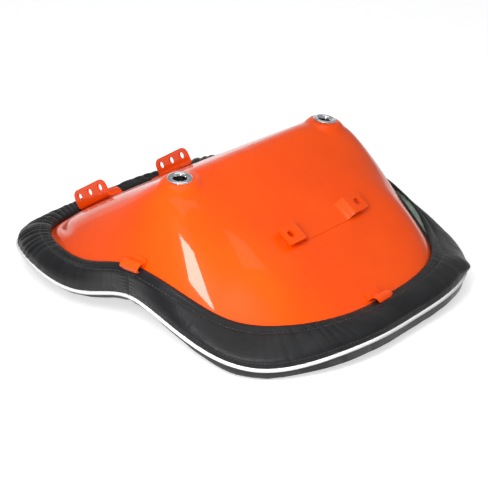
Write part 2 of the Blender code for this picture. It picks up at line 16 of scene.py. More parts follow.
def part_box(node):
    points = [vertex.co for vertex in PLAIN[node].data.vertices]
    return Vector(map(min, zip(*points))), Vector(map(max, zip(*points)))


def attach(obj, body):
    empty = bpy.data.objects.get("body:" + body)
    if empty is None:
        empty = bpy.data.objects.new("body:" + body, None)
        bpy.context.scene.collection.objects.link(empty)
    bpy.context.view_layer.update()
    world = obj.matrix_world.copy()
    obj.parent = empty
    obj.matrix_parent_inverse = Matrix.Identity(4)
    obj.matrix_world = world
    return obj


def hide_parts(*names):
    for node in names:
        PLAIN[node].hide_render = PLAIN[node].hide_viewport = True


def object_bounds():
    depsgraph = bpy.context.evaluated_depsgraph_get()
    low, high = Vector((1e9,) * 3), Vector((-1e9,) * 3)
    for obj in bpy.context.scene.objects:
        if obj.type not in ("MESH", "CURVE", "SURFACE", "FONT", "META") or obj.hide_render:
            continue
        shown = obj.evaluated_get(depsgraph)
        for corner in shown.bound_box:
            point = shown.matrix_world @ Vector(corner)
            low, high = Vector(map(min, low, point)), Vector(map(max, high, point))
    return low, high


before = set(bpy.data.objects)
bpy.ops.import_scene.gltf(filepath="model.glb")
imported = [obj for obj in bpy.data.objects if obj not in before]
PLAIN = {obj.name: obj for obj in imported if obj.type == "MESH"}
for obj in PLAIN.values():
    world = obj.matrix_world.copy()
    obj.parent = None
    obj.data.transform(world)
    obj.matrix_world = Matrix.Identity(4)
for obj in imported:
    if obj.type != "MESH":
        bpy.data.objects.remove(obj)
CAD_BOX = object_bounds()
MM = 0.001
UP = np.array([0.0, 0.0, 1.0])


# ---------------- reading the frame

def points_of(node):
    """Distinct vertices of a CAD node."""
    mesh = PLAIN[node].data
    flat = np.empty(len(mesh.vertices) * 3)
    mesh.vertices.foreach_get("co", flat)
    return np.unique(np.round(flat.reshape(-1, 3), 6), axis=0)


def tree_of(*nodes):
    """Search tree over the faces of some CAD nodes."""
    points = []
    faces = []
    for node in nodes:
        mesh = PLAIN[node].data
        base = len(points)
        points.extend(vertex.co.copy() for vertex in mesh.vertices)
        faces.extend([base + index for index in face.vertices] for face in mesh.polygons)
    return BVHTree.FromPolygons(points, faces)


def centre_line(node):
    """Centres of the rings of a closed tube, in order round the seat from its front centre."""
    points = points_of(node)
    angle = np.mod(np.arctan2(points[:, 0], points[:, 1]) + 0.05, 2 * math.pi)
    order = np.argsort(angle)
    breaks = np.nonzero(np.diff(angle[order]) > math.radians(1.5))[0] + 1
    return np.array([group.mean(axis=0) for group in np.split(points[order], breaks)])


def closed_spline(values, places):
    """Periodic cubic spline through evenly numbered values, read at the given places."""
    values = np.asarray(values, float)
    count = len(values)
    system = np.zeros((count, count))
    for i in range(count):
        system[i, i - 1] += 1
        system[i, i] += 4
        system[i, (i + 1) % count] += 1
    bend = np.roll(values, -1, axis=0) - 2 * values + np.roll(values, 1, axis=0)
    second = np.linalg.solve(system, 6 * bend)
    places = np.mod(places, count)
    low = np.floor(places).astype(int) % count
    high = (low + 1) % count
    b = places - np.floor(places)
    if values.ndim == 2:
        b = b[:, None]
    a = 1 - b
    cubic = ((a ** 3 - a) * second[low] + (b ** 3 - b) * second[high]) / 6
    return a * values[low] + b * values[high] + cubic


class Skin:
    """Smooth height field through scattered points of a CAD skin (cubic radial basis)."""

    def __init__(self, points):
        self.known = points[:, :2] * 10
        count = len(points)
        system = np.zeros((count + 3, count + 3))
        system[:count, :count] = self.kernel(self.known)
        system[:count, count] = 1
        system[:count, count + 1:] = self.known
        system[count:, :count] = system[:count, count:].T
        right = np.concatenate([points[:, 2], np.zeros(3)])
        self.weights = np.linalg.solve(system, right)

    def kernel(self, at):
        apart = at[:, None, :] - self.known[None, :, :]
        return (apart ** 2).sum(axis=2) ** 1.5

    def __call__(self, x, y):
        at = np.stack([np.ravel(x), np.ravel(y)], axis=1) * 10
        count = len(self.known)
        found = []
        for start in range(0, len(at), 4096):
            part = at[start:start + 4096]
            flat = self.weights[count] + part @ self.weights[count + 1:]
            found.append(self.kernel(part) @ self.weights[:count] + flat)
        return np.concatenate(found).reshape(np.shape(x))


def skin_of(nodes, facing, keep_out=(), margin=0.0):
    """Skin through the vertices that a ray from above (1) or below (-1) meets first."""
    tree = tree_of(*nodes)
    known = []
    for point in np.concatenate([points_of(node) for node in nodes]):
        start = Vector((point[0], point[1], facing * 1.0))
        hit = tree.ray_cast(start, Vector((0, 0, -facing)))[0]
        if hit is None or abs(hit.z - point[2]) > 0.1 * MM:
            continue
        if all(math.hypot(point[0] - x, point[1] - y) > margin for x, y in keep_out):
            known.append(point)
    known = np.array(known)
    spots = np.round(known[:, :2] / (0.5 * MM))
    first = np.unique(spots, axis=0, return_index=True)[1]
    return Skin(known[first])


def axis_of(node):
    """Middle and upward axis of a turned CAD node."""
    points = points_of(node)
    middle = points.mean(axis=0)
    axis = np.linalg.eigh(np.cov((points - middle).T))[1][:, 0]
    if axis[2] < 0:
        axis = -axis
    top = ((points - middle) @ axis).max()
    return middle + axis * top, axis


# ---------------- driving sizes

EYELET_TOP = 2.2 * MM  # crown of an eyelet above the pan's skin
EYELET_CLEAR = 33 * MM  # the pan's skin is read outside this radius of a vent
VENT_FLAT = 13.5 * MM  # radius of the flat seat under an eyelet
VENT_FADE = 25 * MM  # radius at which the flat has blended into the pan
VENT_HOLE = 8.6 * MM  # radius of the hole in the pan
PAN_SHEET = 1.8 * MM
PIPING_RADIUS = 2.0 * MM
VINYL = 1.3 * MM  # thickness of the cover
FINE = 1152  # stations round the cover
COARSE = 384  # stations round the pan and the foam

VENTS = [axis_of("vent_eyelet_left"), axis_of("vent_eyelet_right")]
VENT_SEATS = [(top - axis * EYELET_TOP, axis) for top, axis in VENTS]
RAW_PAN = skin_of(["seat_pan"], 1, [seat[:2] for seat, _ in VENT_SEATS], EYELET_CLEAR)
HALVES = (("seat", 1), ("backrest", -1))  # and the side of the waist each lies on
FACE_NODES = [half + "_face_panel" for half, _ in HALVES]
RAW_FACE = skin_of(FACE_NODES, -1)
HEM_CORD = centre_line("hem_cord")
PIPING_LINE = centre_line("piping")
STATIONS = len(HEM_CORD)
WAIST_Y = (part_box("seat_side_band")[0].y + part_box("backrest_side_band")[1].y) / 2


def smooth_step(value):
    """Ease from 0 to 1 as a value goes from 0 to 1."""
    value = np.clip(value, 0, 1)
    return value * value * (3 - 2 * value)


def bump_at(value, centre, width):
    """Bell curve of height 1 round a centre."""
    return np.exp(-((value - centre) / width) ** 2)


def unit(vectors):
    """Vectors scaled to length 1."""
    return vectors / np.linalg.norm(vectors, axis=-1, keepdims=True)


def lay(flat, height):
    """A ring's x and y with new heights."""
    return np.column_stack([flat[:, :2], height])


def hermite(start, finish, leave, arrive, t):
    """Point at share t of a curve with given end points and end slopes."""
    near = start * (2 * t ** 3 - 3 * t ** 2 + 1) + leave * (t ** 3 - 2 * t ** 2 + t)
    return near + finish * (3 * t ** 2 - 2 * t ** 3) + arrive * (t ** 3 - t ** 2)


def pan_height(x, y):
    """Height of the pan's outer skin, flattened round each vent."""
    height = RAW_PAN(x, y)
    for seat, axis in VENT_SEATS:
        away = np.hypot(x - seat[0], y - seat[1])
        flat = seat[2] - ((x - seat[0]) * axis[0] + (y - seat[1]) * axis[1]) / axis[2]
        share = smooth_step((VENT_FADE - away) / (VENT_FADE - VENT_FLAT))
        height = height * (1 - share) + flat * share
    return height


def pan_normal(x, y):
    """Upward unit normal of the pan's outer skin."""
    step = 0.5 * MM
    slope_x = (pan_height(x + step, y) - pan_height(x - step, y)) / (2 * step)
    slope_y = (pan_height(x, y + step) - pan_height(x, y - step)) / (2 * step)
    return unit(np.stack([-slope_x, -slope_y, np.ones_like(slope_x)], axis=-1))


def outward_of(line):
    """Level unit directions that point out of a closed line."""
    along = np.roll(line[:, :2], -1, axis=0) - np.roll(line[:, :2], 1, axis=0)
    out = unit(np.stack([-along[:, 1], along[:, 0]], axis=1))
    out *= np.sign((out * line[:, :2]).sum(axis=1, keepdims=True))
    return np.column_stack([out, np.zeros(len(out))])


# ---------------- mesh tools

def make_piece(name, points, faces, finish, replaced=()):
    """Closed smooth-shaded piece, riding on the one body, in place of some CAD nodes."""
    mesh = bpy.data.meshes.new(name)
    mesh.from_pydata([tuple(point) for point in points], [], faces)
    work = bmesh.new()
    work.from_mesh(mesh)
    bmesh.ops.recalc_face_normals(work, faces=work.faces)
    if work.calc_volume(signed=True) < 0:
        bmesh.ops.reverse_faces(work, faces=work.faces)
    work.to_mesh(mesh)
    work.free()
    mesh.shade_smooth()
    piece = bpy.data.objects.new(name, mesh)
    bpy.context.scene.collection.objects.link(piece)
    mesh.materials.append(finish)
    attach(piece, "root")
    if replaced:
        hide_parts(*replaced)
    return piece


def grid_faces(rows, columns, first=0, closed_rows=False, closed_columns=True):
    """Quads of a grid stored row by row."""
    row = np.arange(rows if closed_rows else rows - 1)
    column = np.arange(columns if closed_columns else columns - 1)
    r, c = np.meshgrid(row, column, indexing="ij")
    r2 = (r + 1) % rows
    c2 = (c + 1) % columns
    corners = [r * columns + c, r * columns + c2, r2 * columns + c2, r2 * columns + c]
    return (np.stack([corner.ravel() for corner in corners], axis=1) + first).tolist()


def fan_faces(centre, ring_start, count):
    """Triangles from a middle point to a closed ring."""
    return [(centre, ring_start + (i + 1) % count, ring_start + i) for i in range(count)]


def capped(first, rings, last):
    """Points and faces of a closed form: rings between two middle points."""
    columns = len(rings[0])
    points = np.concatenate([first[None], *rings, last[None]])
    faces = grid_faces(len(rings), columns, 1) + fan_faces(0, 1, columns)
    faces += fan_faces(len(points) - 1, 1 + (len(rings) - 1) * columns, columns)
    return points, faces


def tube_points(line, radius, sides, closed=True):
    """Rings of a tube along a line, one row for each of its points."""
    if closed:
        along = np.roll(line, -1, axis=0) - np.roll(line, 1, axis=0)
    else:
        along = np.gradient(line, axis=0)
    along = unit(along)
    side = unit(np.cross(along, UP))
    top = np.cross(side, along)
    angle = (np.arange(sides) * 2 * math.pi / sides)[None, :, None]
    radius = np.broadcast_to(np.asarray(radius, float), (len(line),))[:, None, None]
    wheel = np.cos(angle) * side[:, None, :] + np.sin(angle) * top[:, None, :]
    return (line[:, None, :] + radius * wheel).reshape(-1, 3)


def ripple(points, size, seed=0.0):
    """Smooth noise from -1 to 1 at each point, with features of the given size."""
    shift = Vector((seed, seed * 0.7, -seed))
    return np.array([noise.noise(Vector(point) * (1.0 / size) + shift) for point in points])


def grid_normals(points):
    """Unit normals of a grid (rows, columns, 3) whose columns close."""
    down = np.gradient(points, axis=0)
    around = np.roll(points, -1, axis=1) - np.roll(points, 1, axis=1)
    normal = np.cross(down, around)
    normal /= np.linalg.norm(normal, axis=2, keepdims=True) + 1e-12
    return normal


def soften(piece, width, segments=3, angle=50, harden=True):
    """Rounded edges for sheet metal."""
    bevel = piece.modifiers.new("edge", "BEVEL")
    bevel.width = width
    bevel.segments = segments
    bevel.limit_method = "ANGLE"
    bevel.angle_limit = math.radians(angle)
    bevel.harden_normals = harden


# ---------------- materials

def fill_inputs(node, values):
    """Set a shader node's inputs; an underscore stands for the blank in an input's name."""
    for name, value in values.items():
        node.inputs[name.replace("_", " ")].default_value = value


class Finish:
    """Material with plain values, which nodes in the piece's own coordinates may replace."""

    def __init__(self, name, colour, roughness, **values):
        self.made = bpy.data.materials.new(name)
        self.made.use_nodes = True
        self.made.diffuse_color = (*colour, 1.0)
        self.tree = self.made.node_tree
        self.shader = self.tree.nodes["Principled BSDF"]
        fill_inputs(self.shader, {"Base_Color": (*colour, 1.0), "Roughness": roughness, **values})
        self.place = self.add("TexCoord").outputs["Object"]

    def add(self, kind, **values):
        """New node with some of its inputs set."""
        made = self.tree.nodes.new("ShaderNode" + kind)
        fill_inputs(made, values)
        return made

    def link(self, source, target):
        self.tree.links.new(source, target)

    def drive(self, name, source):
        """Feed one of the shader's inputs."""
        self.link(source, self.shader.inputs[name])

    def noise(self, size, detail=3.0, roughness=0.5, stretch=None):
        made = self.add("TexNoise", Scale=1.0 / size, Detail=detail, Roughness=roughness)
        place = self.place
        if stretch is not None:
            mapping = self.add("Mapping", Scale=stretch)
            self.link(place, mapping.inputs["Vector"])
            place = mapping.outputs["Vector"]
        self.link(place, made.inputs["Vector"])
        return made.outputs["Fac"]

    def cells(self, size, output="Distance"):
        made = self.add("TexVoronoi", Scale=1.0 / size)
        self.link(self.place, made.inputs["Vector"])
        return made.outputs[output]

    def ramp(self, value, stops):
        made = self.add("ValToRGB")
        while len(made.color_ramp.elements) < len(stops):
            made.color_ramp.elements.new(0.5)
        for element, (position, colour) in zip(made.color_ramp.elements, stops):
            element.position = position
            element.color = (*colour, 1.0)
        self.link(value, made.inputs["Fac"])
        return made.outputs["Color"]

    def spread(self, value, low, high):
        """Noise's usual range, 0.3 to 0.7, spread from low to high."""
        made = self.add("MapRange", From_Min=0.3, From_Max=0.7, To_Min=low, To_Max=high)
        self.link(value, made.inputs["Value"])
        return made.outputs["Result"]

    def bump(self, value, depth, strength=1.0, under=None):
        made = self.add("Bump", Distance=depth, Strength=strength)
        self.link(value, made.inputs["Height"])
        if under is not None:
            self.link(under, made.inputs["Normal"])
        return made.outputs["Normal"]


def orange_paint():
    nodes = Finish("orange_enamel", (0.93, 0.095, 0.004), 0.30, Coat_Weight=0.5,
                   Specular_IOR_Level=0.05, Coat_Roughness=0.035)
    tone = nodes.noise(70 * MM, 2.0)
    colour = nodes.ramp(tone, [(0.30, (0.86, 0.070, 0.0015)), (0.70, (0.92, 0.084, 0.002))])
    nodes.drive("Base Color", colour)
    peel = nodes.bump(nodes.noise(7 * MM, 1.0, 0.3), 0.05 * MM, 0.10)
    nodes.drive("Normal", peel)
    coat = nodes.bump(nodes.noise(9 * MM, 1.0, 0.3), 0.05 * MM, 0.10)
    nodes.drive("Coat Normal", coat)
    nodes.drive("Roughness", nodes.spread(nodes.noise(9 * MM), 0.29, 0.33))
    return nodes.made


def black_vinyl():
    nodes = Finish("black_vinyl", (0.008, 0.0082, 0.009), 0.42, Specular_IOR_Level=0.31)
    tone = nodes.noise(38 * MM, 3.0)
    colour = nodes.ramp(tone, [(0.3, (0.005, 0.0052, 0.0058)), (0.7, (0.011, 0.0113, 0.0121))])
    nodes.drive("Base Color", colour)
    nodes.drive("Roughness", nodes.spread(nodes.noise(6 * MM), 0.35, 0.47))
    grain = nodes.bump(nodes.cells(1.5 * MM), 0.20 * MM, 0.8)
    pores = nodes.bump(nodes.noise(0.55 * MM, 2.0), 0.05 * MM, 0.4, grain)
    nodes.drive("Normal", pores)
    return nodes.made


def white_vinyl():
    nodes = Finish("white_vinyl", (0.86, 0.86, 0.84), 0.38)
    tone = nodes.noise(14 * MM)
    colour = nodes.ramp(tone, [(0.3, (0.80, 0.80, 0.78)), (0.7, (0.90, 0.90, 0.885))])
    nodes.drive("Base Color", colour)
    nodes.drive("Roughness", nodes.spread(nodes.noise(5 * MM), 0.32, 0.46))
    nodes.drive("Normal", nodes.bump(nodes.noise(0.9 * MM), 0.04 * MM, 0.3))
    return nodes.made


def plated(name, colour, low, high, scratch):
    nodes = Finish(name, colour, low, Metallic=1.0)
    marks = nodes.noise(1.2 * MM, 4.0, 0.6, (1.0, 6.0, 1.0))
    nodes.drive("Roughness", nodes.spread(marks, low, high))
    shade = tuple(0.82 * part for part in colour)
    tone = nodes.ramp(nodes.noise(4 * MM), [(0.3, shade), (0.65, colour)])
    nodes.drive("Base Color", tone)
    nodes.drive("Normal", nodes.bump(marks, 0.02 * MM, scratch))
    return nodes.made


def crumb_foam():
    nodes = Finish("rebond_foam", (0.35, 0.52, 0.42), 0.95)
    crumbs = nodes.ramp(nodes.cells(5 * MM, "Color"), [
        (0.0, (0.22, 0.42, 0.31)), (0.3, (0.38, 0.58, 0.45)), (0.55, (0.52, 0.62, 0.52)),
        (0.8, (0.30, 0.50, 0.42)), (1.0, (0.60, 0.66, 0.56))])
    nodes.drive("Base Color", crumbs)
    cell = nodes.bump(nodes.cells(5 * MM), 1.2 * MM, 0.6)
    nodes.drive("Normal", nodes.bump(nodes.noise(0.8 * MM, 3.0), 0.5 * MM, 0.7, cell))
    return nodes.made


def thread():
    nodes = Finish("black_thread", (0.03, 0.03, 0.032), 0.7, Sheen_Weight=0.3)
    twist = nodes.noise(0.5 * MM, 2.0, 0.5, (1.0, 1.0, 3.0))
    colour = nodes.ramp(twist, [(0.3, (0.008, 0.008, 0.009)), (0.7, (0.022, 0.022, 0.024))])
    nodes.drive("Base Color", colour)
    nodes.drive("Normal", nodes.bump(twist, 0.1 * MM, 0.8))
    return nodes.made


PAINT = orange_paint()
BLACK = black_vinyl()
WHITE = white_vinyl()
CHROME = plated("bright_plate", (0.80, 0.80, 0.82), 0.06, 0.16, 0.15)
ZINC = plated("zinc_plate", (0.58, 0.58, 0.60), 0.30, 0.50, 0.5)
CRUMB = crumb_foam()
THREAD = thread()


# ---------------- pressed pan

PAN_SHARES = np.concatenate([np.linspace(0.015, 0.87, 81), np.linspace(0.876, 1.0, 24)])
RIM_FOLD = 1.6 * MM  # the rim folds under this far outside the draw cord's line
INNER_RINGS = (60, 30, 2)  # rings of the outer skin repeated inside, beyond the rim
BEAD_FROM = 95 * MM  # the rim's bead starts here, towards the front
BEAD_FADE = 45 * MM
BEAD_CLEAR = 68 * MM  # no bead between the hinge plates
BEAD_CLEAR_FADE = 22 * MM
RIM_GROOVES = (  # distance inside the draw cord's line, width, depth
    (6.5 * MM, 2.4 * MM, 2.4 * MM), (17.0 * MM, 4.2 * MM, 4.6 * MM))
COARSE_PLACES = np.arange(COARSE) * STATIONS / COARSE
FINE_PLACES = np.arange(FINE) * STATIONS / FINE


def pierce(piece, seat, axis, radius):
    """Cut a round hole through a piece, along an axis."""
    mesh = bpy.data.meshes.new("cutter")
    work = bmesh.new()
    turn = Vector(axis).to_track_quat("Z", "Y").to_matrix().to_4x4()
    bmesh.ops.create_cone(work, cap_ends=True, segments=64, radius1=radius, radius2=radius,
                          depth=30 * MM, matrix=Matrix.Translation(Vector(seat)) @ turn)
    work.to_mesh(mesh)
    work.free()
    tool = bpy.data.objects.new("cutter", mesh)
    bpy.context.scene.collection.objects.link(tool)
    cut = piece.modifiers.new("hole", "BOOLEAN")
    cut.operation = "DIFFERENCE"
    cut.object = tool
    with bpy.context.temp_override(object=piece, active_object=piece):
        bpy.ops.object.modifier_apply(modifier=cut.name)
    bpy.data.objects.remove(tool, do_unlink=True)


def rim_groove(edge, ring):
    """Depth of the two grooves pressed beside a bead along the rim's front corners."""
    inside = np.linalg.norm(edge[:, :2] - ring[:, :2], axis=1)
    front = smooth_step((ring[:, 1] - BEAD_FROM) / BEAD_FADE)
    front *= smooth_step((np.abs(ring[:, 0]) - BEAD_CLEAR) / BEAD_CLEAR_FADE)
    return front * sum(depth * bump_at(inside, place, width) for place, width, depth in RIM_GROOVES)


def make_pan():
    """Deep-drawn sheet: outer skin, folded rim and inner skin, pierced for the two vents."""
    edge = closed_spline(HEM_CORD, COARSE_PLACES)
    out = outward_of(edge)
    flat_rings = [edge * share for share in PAN_SHARES] + [edge + out * RIM_FOLD]
    rings = []
    for ring in flat_rings:
        rings.append(lay(ring, pan_height(ring[:, 0], ring[:, 1]) - rim_groove(edge, ring)))
    inner = []
    for ring in rings[:-27:-2] + [rings[number] for number in INNER_RINGS]:
        inner.append(ring - PAN_SHEET * pan_normal(ring[:, 0], ring[:, 1]))
    top = pan_height(np.zeros(1), np.zeros(1))[0] * UP
    points, faces = capped(top, rings + inner, top - PAN_SHEET * UP)
    pan = make_piece("pan_shell", points, faces, PAINT, ["seat_pan"])
    for seat, axis in VENT_SEATS:
        pierce(pan, seat, axis, VENT_HOLE)
    pan.data.set_sharp_from_angle(angle=math.radians(35))


# ---------------- pressed and turned fittings

EYELET_SIDES = 72
EYELET_PROFILE = [  # radius and height in millimetres, up the barrel and over the rim
    (6.6, -6.5), (7.6, -6.5), (7.7, -0.4), (8.6, 0.25), (12.4, 0.25), (12.9, 0.45),
    (13.0, 0.85), (12.8, 1.25), (12.2, 1.62), (11.2, 1.92), (10.0, 2.02), (8.9, 1.85),
    (7.9, 1.35), (7.15, 0.5), (6.8, -0.6), (6.65, -2.2)]


def make_eyelet(label, seat, axis):
    """Rolled eyelet: a domed rim that turns down into a barrel through the pan."""
    angle = np.arange(EYELET_SIDES) * 2 * math.pi / EYELET_SIDES
    wheel = np.stack([np.cos(angle), np.sin(angle), np.zeros(EYELET_SIDES)], axis=1)
    turn = np.array(Vector(axis).to_track_quat("Z", "Y").to_matrix())
    rings = []
    for radius, height in EYELET_PROFILE:
        rings.append(seat + ((radius * wheel + height * UP) * MM) @ turn.T)
    faces = grid_faces(len(rings), EYELET_SIDES, closed_rows=True)
    points = np.concatenate(rings)
    node = "vent_eyelet_" + label
    piece = make_piece("vent_rim_" + label, points, faces, CHROME, [node])
    piece.data.set_sharp_from_angle(angle=math.radians(60))


def dress(node, finish, edge=0.0):
    """Carry a CAD node over with its own material and, for sheet metal, softened edges."""
    piece = PLAIN[node]
    piece.data.materials.clear()
    piece.data.materials.append(finish)
    if edge:
        weld = piece.modifiers.new("weld", "WELD")
        weld.merge_threshold = 0.02 * MM
        soften(piece, edge, angle=38)


STRAP_SHEET = 2.8 * MM
STRAP_FLUSH = 0.7 * MM  # top of the strap's middle above the pan
STRAP_RISER = (33.0 * MM, 40.5 * MM)  # the strap rises to its pads between these
STRAP_HOLE = 4.25 * MM  # radius of a pad's hole
STRAP_HOLE_X = 55 * MM
STRAP_CORNER = 3.0 * MM  # radius of the corners
STRAP_EDGE = 0.5 * MM


def make_strap():
    """Strap welded across the backrest: flush middle, two raised pads with one hole each."""
    points = points_of("rear_strap")
    middle_y = points[:, 1].mean()
    facing = pan_normal(np.zeros(1), np.array([middle_y]))[0]
    across = np.cross(facing, [1.0, 0.0, 0.0])
    half = np.ptp(points @ across) / 2
    centre = ((points @ across).max() + (points @ across).min()) / 2
    pad = (points @ facing).max()
    end = points[:, 0].max()
    x = np.unique(np.concatenate([np.linspace(-end, end, 101), [-end + 0.9 * MM, end - 0.9 * MM]]))
    height = pan_height(x, np.full_like(x, middle_y))
    low = height * facing[2] + middle_y * facing[1] + STRAP_FLUSH
    rise = smooth_step((np.abs(x) - STRAP_RISER[0]) / (STRAP_RISER[1] - STRAP_RISER[0]))
    level = low * (1 - rise) + pad * rise
    lean = unit(np.stack([-np.gradient(level, x), np.ones_like(x)], axis=1))
    short = np.maximum(0.0, STRAP_CORNER - (end - np.abs(x)))
    width = half - (STRAP_CORNER - np.sqrt(np.maximum(0.0, STRAP_CORNER ** 2 - short ** 2)))
    steps = np.linspace(-1, 1, 13)
    forward = np.array([1.0, 0.0, 0.0])
    top = np.outer(x, forward) + np.outer(level, facing) + across * centre
    under = top - STRAP_SHEET * (np.outer(lean[:, 0], forward) + np.outer(lean[:, 1], facing))
    spread = (width[:, None] * steps)[:, :, None] * across
    loop = np.concatenate([top[:, None] + spread, under[:, None] + spread[:, ::-1]], axis=1)
    count, columns = loop.shape[:2]
    faces = grid_faces(count, columns)
    for row in (0, count - 1):
        cap = [row * columns + i for i in range(columns)]
        faces.append(cap if row else cap[::-1])
    points = loop.reshape(-1, 3)
    strap = make_piece("welded_strap", points, faces, PAINT, ["rear_strap"])
    for sign in (-1, 1):
        seat = np.array([sign * STRAP_HOLE_X, 0, 0]) + facing * pad + across * centre
        pierce(strap, seat, facing, STRAP_HOLE)
    soften(strap, STRAP_EDGE)


# ---------------- cover: the side roll

HEM_INSET = 3.9 * MM  # from the draw cord to the hem's inner edge
CORD_LIFT = 2.1 * MM  # draw cord's centre above the pan
HEM_LIFT = 6.2 * MM  # crown of the hem above the pan
ROLL_READ = [0.12, 0.30, 0.50, 0.70, 0.88]
ROLL_ROWS = 50
HEM_ROW = 6  # row at which the turned hem meets the roll
BEND_SPAN = 12  # stations on each side over which the hem's bend is measured
BEND_FREE = 4.5  # the hem gathers where it bends more than this, per metre
BEND_RISE = 3.5
GATHER_PITCH = 9.4 * MM
GATHER_DEPTH = 8.4 * MM
GATHER_REACH = (20, 24)  # least reach of a pleat and what chance adds, in millimetres
PIPING_PITCH = 2.1 * GATHER_PITCH
PIPING_DEPTH = 0.22 * GATHER_DEPTH
FRONT_FROM = 55 * MM  # the front's gathers start here and are full 30 mm further on
CORNER_FROM = 70 * MM  # and are full at the corners, 50 mm outside this
TIP = (127 * MM, -207 * MM)  # corner of the cover that is drawn out to a point
TIP_SWELL = 6.5 * MM
TIP_SPAN = 17 * MM
WAIST_DIP = 1.6 * MM  # depth of the waist seam
WAIST_HOLLOW = 0.8 * MM  # depth of the wider hollow round it
CASING = 9.0 * MM  # stitched line of the hem's casing, from the hem
TOP_STITCH = 4.5 * MM  # stitched line above the piping
STAND_OFF = 9.5 * MM  # how far the hem gapes open on one side of the backrest
STAND_OFF_Y = -103 * MM
STAND_OFF_SPAN = 40 * MM
LIP_ROWS = 11  # rows of the turned hem
LIP_START = (0.9 * MM, 0.5 * MM)  # out and up from the hem's inner edge
LIP_LEAVE = (-0.55, 1.25)  # the turned hem leaves that way, out and up
LIP_UNDER = ((4.0 * MM, 3.2 * MM), (2.6 * MM, 0.5 * MM))  # its inner side, out and up
INNER_ROWS = 12  # rows of the band's inner side


def spline_rows(rows, count):
    """Fine rows along a curve through a few rows of points, spaced evenly by length."""
    rows = np.asarray(rows)
    spans = np.linalg.norm(np.diff(rows, axis=0), axis=2).mean(axis=1)
    knots = np.concatenate([[0.0], np.cumsum(spans)])
    slopes = np.gradient(rows, knots, axis=0)
    at = np.linspace(0, knots[-1], count)
    low = np.clip(np.searchsorted(knots, at, side="right") - 1, 0, len(knots) - 2)
    width = (knots[low + 1] - knots[low])[:, None, None]
    t = ((at - knots[low])[:, None, None]) / width
    return hermite(rows[low], rows[low + 1], slopes[low] * width, slopes[low + 1] * width, t)


def hem_frame(places):
    """Hem's inner edge on the pan, with its outward and upward directions there."""
    cord = closed_spline(HEM_CORD, places)
    outward = outward_of(cord)
    gape = STAND_OFF * bump_at(cord[:, 1], STAND_OFF_Y, STAND_OFF_SPAN) * (cord[:, 0] > 0)
    edge = cord - outward * HEM_INSET
    for _ in range(3):
        normal = pan_normal(edge[:, 0], edge[:, 1])
        edge = cord - outward * HEM_INSET - normal * CORD_LIFT
    edge[:, 2] = pan_height(edge[:, 0], edge[:, 1])
    edge = edge + outward * gape[:, None]
    out = np.cross(normal, unit(np.roll(edge, -1, axis=0) - np.roll(edge, 1, axis=0)))
    out *= np.sign((out * outward).sum(axis=1, keepdims=True))
    return edge, out, normal


def roll_profile():
    """Rows of the roll at the CAD stations: read off the side band with rays."""
    places = np.arange(STATIONS)
    edge, out, normal = hem_frame(places)
    first = edge + normal * HEM_LIFT + out * 1.0 * MM
    piping = closed_spline(PIPING_LINE, places)
    side = outward_of(piping)
    last = piping + UP * PIPING_RADIUS + side * 0.6 * MM
    tree = tree_of("seat_side_band", "backrest_side_band")
    rows = [first]
    for share in ROLL_READ:
        row = []
        for i in range(STATIONS):
            base = Vector(first[i] * (1 - share) + last[i] * share)
            chord = Vector(last[i] - first[i])
            reach = Vector(side[i]) - chord * (Vector(side[i]).dot(chord) / chord.length_squared)
            reach.normalize()
            if reach.z < 0:
                reach = -reach
            hit = tree.ray_cast(base + reach * 0.08, -reach)[0]
            row.append(hit if hit is not None else base + reach * 0.008)
        rows.append(np.array(row))
    rows.append(last)
    return np.array(rows)


def fine_roll():
    """The roll's outer surface as a fine grid (rows from hem to piping, stations)."""
    coarse = spline_rows(roll_profile(), ROLL_ROWS)
    return np.array([closed_spline(row, FINE_PLACES) for row in coarse])


def roll_lengths(grid):
    """Distance of each grid point from the hem and from the piping, along the roll."""
    steps = np.linalg.norm(np.diff(grid, axis=0), axis=2)
    from_hem = np.concatenate([np.zeros((1, grid.shape[1])), np.cumsum(steps, axis=0)])
    return from_hem, from_hem[-1] - from_hem


def bending_of(line):
    """Outward bending of a closed outline: 1 over its radius, positive where it bulges."""
    first = line[:, :2] - np.roll(line[:, :2], BEND_SPAN, axis=0)
    second = np.roll(line[:, :2], -BEND_SPAN, axis=0) - line[:, :2]
    long, short = np.linalg.norm(first, axis=1), np.linalg.norm(second, axis=1)
    turn = first[:, 0] * second[:, 1] - first[:, 1] * second[:, 0]
    bend = np.arcsin(np.clip(turn / (long * short), -1, 1)) / (long + short) * 2
    return bend * np.sign(np.median(bend))


def hashed(index, seed):
    """Repeatable value from 0 to 1 for each whole number."""
    value = np.sin(index * 12.9898 + seed * 78.233) * 43758.5453
    return value - np.floor(value)


def gathers(grid, from_hem, pitch, seed):
    """Rounded pleats that run from the hem into the roll, with sharp folds between."""
    hem = grid[0]
    steps = np.linalg.norm(np.roll(hem, -1, axis=0) - hem, axis=1)
    along = np.concatenate([[0.0], np.cumsum(steps)[:-1]])
    wander = ripple(hem, 30 * MM, seed) * 1.1
    turns = along / pitch + wander
    index = np.floor(turns)
    phase = turns - index
    ridge = np.sin(math.pi * phase) ** 0.7 - 0.55
    least, chance = GATHER_REACH
    reach = (least + chance * hashed(index, seed)) * MM
    next_reach = (least + chance * hashed(index + 1, seed)) * MM
    reach = reach * (1 - phase) + next_reach * phase
    height = 0.45 + 0.55 * hashed(index, seed + 3)
    fade = np.exp(-(from_hem / reach[None, :]) ** 2)
    return (ridge * height)[None, :] * fade


